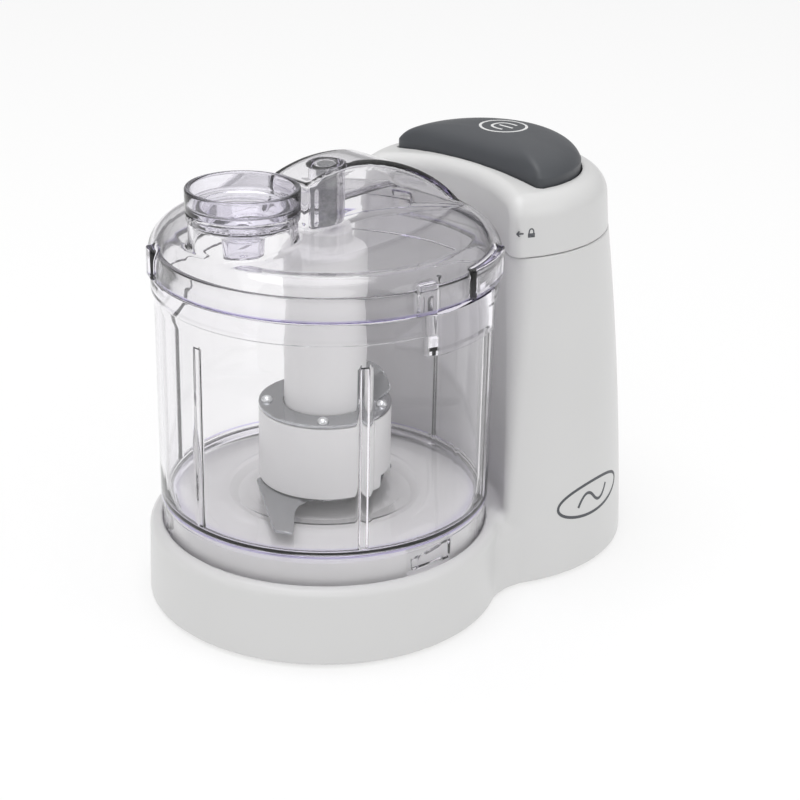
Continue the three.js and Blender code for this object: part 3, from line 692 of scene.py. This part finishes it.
def bowl():
    """Skirt, wall, mouth, floor and centre tube in one ring, with ribs, one grip pad and three keys."""
    skirt_low = BOWL_LOW.z
    edge = LID_EDGE - 0.4
    dip = BOWL_FLOOR - FLOOR_DIP
    line = levels(rounded([
        (56.4, skirt_low, 0), (57.6, skirt_low, 0.4), (57.6, 35.8, 1), (58.2, 36.9, 1),
        (BOWL_R, BAND_Z, 0.5), (59.4, BAND_Z + 0.7, 0.4), (59.4, edge, 0.5), (57.3, edge, 0.4),
        (57.3, BOWL_MOUTH, 0.7),
        (55.6, BOWL_MOUTH, 0.7), (56, 110, 0), (56, BOWL_FLOOR, 2.2), (34, BOWL_FLOOR, 5),
        (27.5, dip, 5), (12.2, dip, 1.4), (10.5, 39.5, 1), (10.3, 66, 0.8), (8.5, 66, 0.5),
        (8.6, dip - FLOOR_WALL, 0.5), (27.5, dip - FLOOR_WALL, 5), (34, BOWL_FLOOR - FLOOR_WALL, 5),
        (55.6, BOWL_FLOOR - FLOOR_WALL, 0.8), (55.6, skirt_low, 0.4), (56.4, skirt_low, 0),
    ]), [
        27.6, 28.2, 28.8, 31.8, 32.4, 33, 33.6, 34.2, 34.8, 50, 70, 90,
        RIB_TOP - 0.8, RIB_TOP, PAD_Z, PAD_Z + 0.5, PAD_Z + 3,
    ])

    def alter(r, z, angle):
        rib = sum(near(angle, turn, RIB_HALF, RIB_FLANK) for turn in RIB_TURNS)
        wall = (np.abs(r - 56) < 0.6) & (z > BOWL_FLOOR + 1)
        r = np.where(wall, r - RIB_DEPTH * rib * (1 - ramp(z, RIB_TOP - 0.8, RIB_TOP)), r)
        pad = near(angle, *PAD, PAD_FLANK)
        outer = (r > 58.2) & (z > PAD_Z - 0.1) & (z < edge + 0.1)
        r = np.where(outer, r + (PAD_R - r) * pad * ramp(z, PAD_Z, PAD_Z + 0.5), r)
        key = 0
        for turn in KEY_TURNS:
            # each key grows taller from one end to the other
            along = 0.5 + around(angle, KEY[0] + turn) / (2 * KEY[1])
            tall = between(z, 28.3 - 0.5 * along, 32.4 + 2.4 * along)
            key = key + near(angle, KEY[0] + turn, KEY[1], 0.5) * tall
        skirt = (np.abs(r - 55.6) < 0.1) & (z < 36.6)
        return np.where(skirt, r - KEY_DEPTH * key, r), z

    columns = list(np.arange(0, 360, 2.0) + 1.0)
    for turn in RIB_TURNS:
        columns += [turn] + flanks(turn, RIB_HALF, RIB_FLANK, 6)
    columns += flanks(*PAD, PAD_FLANK, 6)
    for turn in KEY_TURNS:
        columns += flanks(KEY[0] + turn, KEY[1], 0.5)
    return revolve(line, columns, alter)


show("bowl_wall", bowl(), BOWL_CLEAR, "bowl", ["bowl"])


# ---------------------------------------------------------------- lid and pusher


def ridge(x, y, z):
    """The arched ridge from the chute over the hub to the rim, widening towards the tower."""
    width = 10 + 8 * ramp(x, 4, 56)
    plan = both(np.abs(y) - width, np.maximum(RIDGE_LOW_X - x, x - RIDGE_HIGH_X + 0.003 * y**2), 3.0)
    arch = np.hypot(x - CREST_X, z - CREST_Z) - CREST_ARC
    return both(plan, arch, 2.6)


def lid_form(x, y, z):
    rho = np.hypot(x, y)
    dome = both(rho - LID_R, z - LID_CROWN + LID_DOME * rho**2, LID_SHOULDER)
    form = either(dome, ridge(x, y, z), 2.0)
    off = np.hypot(x - CHUTE_X, y)
    lip = ramp(z, CHUTE_TOP - 2.8, CHUTE_TOP - 2.2)
    chute = both(off - CHUTE_R - (CHUTE_LIP - CHUTE_R) * lip, z - CHUTE_TOP, 0.7)
    return either(form, np.maximum(chute, 130 - z), 1.2)


def sector(x, y, z, inner, outer, first, last, low, high, r):
    """A block of a ring between two angles in degrees."""
    middle, half = math.radians((first + last) / 2), math.radians((last - first) / 2)
    rho = np.hypot(x, y)
    along = x * math.cos(middle) + y * math.sin(middle)
    across = np.abs(y * math.cos(middle) - x * math.sin(middle))
    wedge = np.where(along > 0, across * math.cos(half) - along * math.sin(half), 99.0)
    return both(both(rho - outer, wedge, r), np.maximum(inner - rho, np.maximum(low - z, z - high)), r)


LUGS = [(-104, -97), (16, 23), (150, 157), (-81, -54)]  # first and last angle in degrees
LUG_TOP = 131.5
LID_HUB_Z = (133.3, 155.6)


def lid(x, y, z):
    form = lid_form(x, y, z)
    shell = np.maximum(form, -(form + LID_WALL))
    off = np.hypot(x - CHUTE_X, y)
    shell = both(shell, CHUTE_BORE - off, 0.4)
    rho = np.hypot(x, y)
    sleeve = both(rho - LID_HUB_R, LID_HUB_BORE - rho, 0.3)
    hub = both(sleeve, np.maximum(LID_HUB_Z[0] - z, z - LID_HUB_Z[1]), 0.3)
    shell = either(shell, hub, 0.5)
    for first, last in LUGS:
        tab = sector(x, y, z, LID_R - 1.6, TAB_R - 0.4, first, last, LID_EDGE, LUG_TOP, 0.8)
        shell = either(shell, tab, 1.0)
    return both(shell, LID_EDGE - z, 0.35)


show(
    "lid_shell",
    skin(lid, [
        spaced(LID_LOW.x - 1.2, 0.8, LID_HIGH.x + 1.2),
        spaced(LID_LOW.y - 1.2, 0.8, LID_HIGH.y + 1.2),
        spaced(LID_EDGE - 1.2, 0.42, 123, 0.9, 129, 0.6, LID_HIGH.z + 1.2),
    ]),
    LID_CLEAR, "lid", ["lid"], sharp=0,
)

show(
    "bearing_pin",
    revolve(rounded([
        (0, 127.6, 0), (2.5, 127.6, 0.3), (3.1, 128.3, 0.3), (3.1, 154.4, 0.4), (0, 154.4, 0),
    ]), 40),
    IRON, "lid_pin", ["lid_bearing_pin"],
)

show(
    "pusher_cup",
    revolve(rounded([
        (1.3, 130.5, 0), (6.6, 130.5, 0.8), (7.2, 138.6, 1.5), (15.4, 143.2, 1.2),
        (15.6, CHUTE_TOP + 0.4, 0.3), (18.7, CHUTE_TOP + 0.4, 0.5), (18.8, PUSHER_TOP, 0.8),
        (16.9, PUSHER_TOP, 0.8), (16.9, 149.2, 1.0), (14, 149, 0.8), (13.6, 144.6, 1.5),
        (5.6, 139.8, 1.2), (5.4, 132.1, 0.6), (1.3, 132.1, 0), (1.3, 130.5, 0),
    ]), 120, x=CHUTE_X),
    PUSHER_CLEAR, "pusher", ["food_pusher"],
)


# ---------------------------------------------------------------- blade set

show(
    "column",
    revolve(rounded([
        (0, 90, 0), (7.7, 90, 0), (7.7, 66.6, 0), (11.3, 66.6, 0), (11.3, COLUMN_LOW.z, 0.3),
        (COLUMN_R, COLUMN_LOW.z, 0.3), (COLUMN_R, 125.5, 2.2), (9, 128.3, 1.2), (9, COLUMN_HIGH.z, 0.8),
        (3.7, COLUMN_HIGH.z, 0.4), (3.7, 127, 0), (0, 127, 0),
    ]), 96),
    HUB_AND_LIT_WHITE, "blade", ["blade_column"],
)


# angle, half width and flank in degrees
SEAMS = ((-87, 0.7, 0.9), (93, 0.7, 0.9))
NOTCHES = ((-62, 14, 1.0), (118, 14, 1.0))
SEAM_DEPTH, NOTCH_RISE = 0.55, 4.2


def drum():
    """The hub round the column, with two seams down its side and two notches in its lower edge."""
    low, high = HUB_LOW.z, HUB_HIGH.z
    line = levels(rounded([
        (COLUMN_R + 0.3, low, 0), (16.2, low, 0.3), (16.2, high - 2, 0.5), (21.3, high - 2, 0.5),
        (21.3, low, 0.4), (DRUM_R, low, 0.4), (DRUM_R, high, 0.5), (COLUMN_R + 0.3, high, 0),
        (COLUMN_R + 0.3, low, 0),
    ]), (44, 50, 58))

    def alter(r, z, angle):
        seam = sum(near(angle, *groove) for groove in SEAMS)
        r = np.where(r > DRUM_R - 0.6, r - SEAM_DEPTH * seam, r)
        notch = sum(near(angle, *gap) for gap in NOTCHES)
        raised = low + (z - low) * (1 - NOTCH_RISE / (high - low) * notch) + NOTCH_RISE * notch
        return r, np.where(r > 20, raised, z)

    columns = list(np.arange(0, 360, 3.0) + 0.5)
    for centre, half, flank in SEAMS + NOTCHES:
        columns += flanks(centre, half, flank)
    return revolve(line, columns, alter)


show("drum", drum(), HUB_AND_LIT_WHITE, "blade", ["blade_hub"])


WING_HINGE = 15.6  # distance of the upper wing's bend from the axis
WING_R = 27.2
WING_TURN, WING_TILT = math.radians(-17), math.radians(62)
WING_MIDDLE, WING_HALF = math.radians(7.5), math.radians(38.5)


def upper_blade(x, y, z):
    """Flat steel ring on the drum with one curved wing that rises behind the column."""
    low = UPPER_LOW.z
    rho = np.hypot(x, y)
    washer = both(rho - DRUM_R, COLUMN_R + 0.4 - rho, 0.2)
    ring = both(washer, np.abs(z - low - PLATE / 2) - PLATE / 2, 0.25)
    out = x * math.cos(WING_TURN) + y * math.sin(WING_TURN)
    side = y * math.cos(WING_TURN) - x * math.sin(WING_TURN)
    cos, sin = math.cos(WING_TILT), math.sin(WING_TILT)
    along = (out - WING_HINGE) * cos + (z - low) * sin
    above = (z - low) * cos - (out - WING_HINGE) * sin
    flat = np.hypot(along + WING_HINGE, side) - WING_R
    cos, sin = math.cos(WING_MIDDLE), math.sin(WING_MIDDLE)
    ahead = (along + WING_HINGE) * cos + side * sin
    aside = side * cos - (along + WING_HINGE) * sin
    wedge = np.abs(aside) * math.cos(WING_HALF) - ahead * math.sin(WING_HALF)
    edge = 0.35 * np.maximum(0, flat + 3)
    wing = both(flat, np.maximum(wedge, -along - 1), 1.0)
    wing = both(wing, np.abs(above - PLATE / 2) - PLATE / 2 + edge * 0.4, 0.2)
    wing = np.maximum(wing, np.maximum(COLUMN_R + 0.4 - rho, low - z))
    return either(ring, wing, 0.4)


show(
    "upper_knife",
    skin(upper_blade, [
        spaced(UPPER_LOW.x - 1, 0.5, UPPER_HIGH.x + 1),
        spaced(UPPER_LOW.y - 1, 0.5, UPPER_HIGH.y + 1),
        spaced(UPPER_LOW.z - 0.9, 0.3, UPPER_HIGH.z + 0.9),
    ]),
    STEEL, "blade", ["upper_blade"],
)


LOWER_RING_R = 21.0
LOWER_TIP_R = 48.2
LOWER_BORE = 11.4
LOWER_TURNS = (math.radians(-149), math.radians(31))


def lower_blade(x, y, z):
    """Steel ring under the drum with two hooked wings, ground to an edge on their leading sides."""
    high = LOWER_HIGH.z
    rho = np.hypot(x, y)
    best = rho - LOWER_RING_R
    grind = 0 * rho - 9.0
    for turn in LOWER_TURNS:
        u = x * math.cos(turn) + y * math.sin(turn)
        v = y * math.cos(turn) - x * math.sin(turn)
        back = (0.5 * u - 27.7 - v) / math.hypot(0.5, 1)
        heel = (3.2 * (8 - u) - 4 * (18.5 + v)) / math.hypot(3.2, 4)
        front = v - (-1.5 + 4.4 * ramp(u, 29, 50) + 6 * (1 - ramp(u, 14, 28)))
        wing = both(both(back, front, 0.5), both(rho - LOWER_TIP_R, np.maximum(8 - u, heel), 0.5), 1.0)
        best = either(best, wing, 1.5)
        grind = np.maximum(grind, np.where(u > 20, front, -9))
    bevel = 0.32 * np.maximum(0, grind + 2.6)
    plate = both(best, np.abs(z - high + PLATE / 2 + bevel * 0.5) - (PLATE / 2 - bevel * 0.5), 0.12)
    return both(plate, LOWER_BORE - rho, 0.2)


show(
    "lower_knife",
    skin(lower_blade, [
        spaced(LOWER_LOW.x - 1, 0.6, LOWER_HIGH.x + 1),
        spaced(LOWER_LOW.y - 1, 0.6, LOWER_HIGH.y + 1),
        spaced(LOWER_LOW.z - 0.6, 0.2, LOWER_HIGH.z + 0.6),
    ]),
    STEEL, "blade", ["lower_blade"],
)

for number, angle in enumerate(RIVET_ANGLES):
    seat = UPPER_LOW.z + PLATE + 0.05
    turn = math.radians(angle)
    quarter = np.linspace(0, math.pi / 2, 9)
    dome = [(RIVET_HEAD[0] * math.cos(a), seat + RIVET_HEAD[1] * math.sin(a)) for a in quarter]
    line = np.array([(0, 63), (1, 63), (1, seat)] + dome)
    line[-1, 0] = 0
    show(
        f"rivet_{number + 1}",
        revolve(line, 28, x=RIVET_R * math.cos(turn), y=RIVET_R * math.sin(turn)),
        BRIGHT, "blade", [f"blade_rivet_{number + 1}"],
    )


# ---------------------------------------------------------------- printed marks


def prints(strokes, width, place, depth=0.15, height=0.06):
    """Flat strokes laid on a surface: place(s, t, h) is the point at height h over a drawing's (s, t)."""
    points, faces, count = [], [], 0
    for line in strokes:
        line = np.array(line, float)
        closed = np.allclose(line[0], line[-1])
        step = np.gradient(line, axis=0)
        if closed:
            step[0] = line[1] - line[-2]
            line, step = line[:-1], step[:-1]
        side = np.stack([-step[:, 1], step[:, 0]], -1) * (width / 2 / np.linalg.norm(step, axis=1))[:, None]
        left, right = line + side, line - side
        corners = [(left, -depth), (right, -depth), (right, height), (left, height)]
        rows = np.stack([np.stack(place(*at.T, h), -1) for at, h in corners])
        number = count + np.arange(rows.shape[0] * rows.shape[1]).reshape(rows.shape[:2])
        if closed:
            number = np.concatenate([number, number[:, :1]], 1)
        beside = np.roll(number, -1, 0)
        quads = np.stack([number[:, :-1], number[:, 1:], beside[:, 1:], beside[:, :-1]], -1).reshape(-1, 4)
        if not closed:
            quads = np.concatenate([quads, number[::-1, :1].T, number[:, -1:].T])
        a, b, c, d = (rows.reshape(-1, 3)[quads[:, k] - count] for k in range(4))
        if (a * np.cross(b, c) + a * np.cross(c, d)).sum() < 0:
            quads = quads[:, ::-1]
        points.append(rows.reshape(-1, 3))
        faces.append(quads)
        count += len(points[-1])
    return np.concatenate(points), np.concatenate(faces)


def oval(s, t, wide, tall, steps=72):
    turn = np.linspace(0, 2 * math.pi, steps + 1)
    return np.stack([s + wide * np.cos(turn), t + tall * np.sin(turn)], -1)


def bend(*ends, steps=10):
    """A smooth line through three points of a drawing: start, control and end."""
    a, b, c = (np.array(end, float) for end in ends)
    t = np.linspace(0, 1, steps)[:, None]
    return (1 - t) ** 2 * a + 2 * t * (1 - t) * b + t**2 * c


# where a drawing's middle goes: its height, its angle about the surface's axis, and the surface's radius
EMBLEM_Z, EMBLEM_ANGLE, EMBLEM_R = 26.0, math.radians(-84), 58.5
MARKS_Z, MARKS_ANGLE, MARKS_R = 129.0, math.radians(-117), 46.5
SIGN_X, SIGN_Y = 90.0, 1.5


def on_tower(s, t, h):
    z = EMBLEM_Z + t
    angle = EMBLEM_ANGLE + s / EMBLEM_R
    r = tower_radius(z) + h
    return TOWER_X + TOWER_LEAN * z + r * np.cos(angle), r * np.sin(angle), z + 0 * angle


def on_cap(s, t, h):
    z = MARKS_Z + t
    angle = MARKS_ANGLE + s / MARKS_R
    r = CAP_R - (z - SEAM_Z) / 12 + h
    return CAP_X + r * np.cos(angle), r * np.sin(angle), z + 0 * angle


def on_button(s, t, h):
    x, y = SIGN_X + s, SIGN_Y + t
    share = np.hypot(x - BUTTON_MID_X, y) / button_reach(np.arctan2(y, x - BUTTON_MID_X))
    return x, y, pillow(share) + h


EMBLEM = [oval(0, 0, 19, 6.2), bend((-9, -2), (-4.5, 5.5), (0, 0)), bend((0, 0), (4.5, -5.5), (9, 2))]
show("tower_emblem", prints(EMBLEM, 1.1, on_tower), INK, "base")

ARROW = [[(-3.6, 0), (-2.4, 0), (-1.2, 0)], [(-2.7, 0.9), (-3.7, 0)], [(-2.7, -0.9), (-3.7, 0)]]
PADLOCK = [
    [(0.4, -1.3), (3.0, -1.3)], [(0.4, -0.8), (3.0, -0.8)], [(0.4, -0.3), (3.0, -0.3)],
    bend((0.8, -0.2), (0.8, 1.5), (1.7, 1.5)), bend((1.7, 1.5), (2.6, 1.5), (2.6, -0.2)),
]
show("cap_marks", prints(ARROW + PADLOCK, 0.45, on_cap), INK, "base")

SIGN = [
    oval(0, 0, 8.5, 8.5), bend((-4, -3), (-5, 4), (0, 4), steps=8), bend((0, 4), (5, 4), (4, -3), steps=8),
    [(0, -4.5), (0, -1), (0, 2)],
]
show("button_sign", prints(SIGN, 1.0, on_button), WHITE_INK, "button")


# ---------------------------------------------------------------- carried-over CAD pieces

CAD_FINISHES = {
    INNER: ["bottom_cover", "switch_carrier", "switch_plunger", "interlock_pin", "interlock_bracket"],
    RUBBER: ["foot_1", "foot_2", "foot_3", "foot_4", "cord_gland", "drive_belt"],
    STEEL: [
        "bottom_screw_1", "bottom_screw_2", "bottom_screw_3", "bottom_screw_4", "motor_bracket",
        "motor_shaft", "motor_pulley", "drive_spindle", "interlock_spring",
    ],
    IRON: ["motor_can", "motor_armature"],
    BLACK: ["motor_end_cap", "motor_fan", "spindle_pulley", "drive_coupling", "micro_switch"],
    BRONZE: ["spindle_bush_lower", "spindle_bush_upper"],
    BOARD: ["circuit_board"],
}
for material, names in CAD_FINISHES.items():
    for name in names:
        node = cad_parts[name]
        node.data.materials.clear()
        node.data.materials.append(material)


# ---------------------------------------------------------------- camera, lights and floor

AZIMUTH, ELEVATION, DISTANCE = -43.0, 28.7846, 0.68647  # degrees and metres, about the bowl's axis
YAW, PITCH = 2.3085, 5.3517  # how far the camera looks away from that point, degrees
LENS = 83.962
AIM_Z = 0.07  # height that every lamp is aimed at, metres

camera = bpy.data.objects.new("camera", bpy.data.cameras.new("camera"))
camera.data.lens = LENS
camera.data.clip_start = 0.05
aim = Matrix.Rotation(math.radians(AZIMUTH), 4, "Z") @ Matrix.Rotation(math.radians(90 - ELEVATION), 4, "X")
turned = aim @ Matrix.Rotation(math.radians(-YAW), 4, "Y") @ Matrix.Rotation(math.radians(PITCH), 4, "X")
camera.matrix_world = Matrix.Translation(ORIGIN + aim.to_3x3() @ Vector((0, 0, DISTANCE))) @ turned
bpy.context.scene.collection.objects.link(camera)
bpy.context.scene.camera = camera


def lamp(name, place, size, power):
    """A round soft lamp aimed at the machine's middle."""
    light = bpy.data.lights.new(name, "AREA")
    light.shape, light.size, light.energy = "DISK", size, power
    piece = bpy.data.objects.new(name, light)
    piece.location = place
    piece.rotation_euler = (Vector((0, 0, AIM_Z)) - Vector(place)).to_track_quat("-Z", "Y").to_euler()
    bpy.context.scene.collection.objects.link(piece)


lamp("key", (-1.0, -0.85, 1.3), 1.3, 3.6)
lamp("left", (-1.4, 0.1, 0.65), 1.2, 1.2)
lamp("front", (0.5, -1.4, 0.9), 1.0, 2.2)
lamp("top", (-0.1, 0.1, 1.5), 1.1, 6.5)

world = bpy.data.worlds.new("studio")
world.use_nodes = True
sky, sky_links = world.node_tree.nodes, world.node_tree.links
direction, upward = sky.new("ShaderNodeTexCoord"), sky.new("ShaderNodeSeparateXYZ")
sky_links.new(direction.outputs["Generated"], upward.inputs["Vector"])
brightness = shade(sky, sky_links, upward.outputs["Z"], 0.55, 1.0, 0.42, 0.68)
sky_links.new(brightness, sky["Background"].inputs["Color"])
sky["Background"].inputs["Strength"].default_value = 0.84
bpy.context.scene.world = world
bpy.context.scene.view_settings.view_transform = "Standard"
cycles = bpy.context.scene.cycles
cycles.max_bounces, cycles.transmission_bounces, cycles.transparent_max_bounces = 40, 36, 32

floor_material, _, _, floor_shader = tree("studio_floor")
floor_shader.inputs["Base Color"].default_value = (0.4, 0.4, 0.4, 1)
floor_shader.inputs["Roughness"].default_value = 0.6
floor_shader.inputs["Emission Color"].default_value = (1, 1, 1, 1)
floor_shader.inputs["Emission Strength"].default_value = 0.56
FLOOR = 4.0  # half its side, metres
floor_mesh = bpy.data.meshes.new("floor")
corners = [(x * FLOOR, y * FLOOR, 0) for x, y in ((-1, -1), (1, -1), (1, 1), (-1, 1))]
floor_mesh.from_pydata(corners, [], [(0, 1, 2, 3)])
floor_mesh.materials.append(floor_material)
floor = bpy.data.objects.new("floor", floor_mesh)
bpy.context.scene.collection.objects.link(floor)
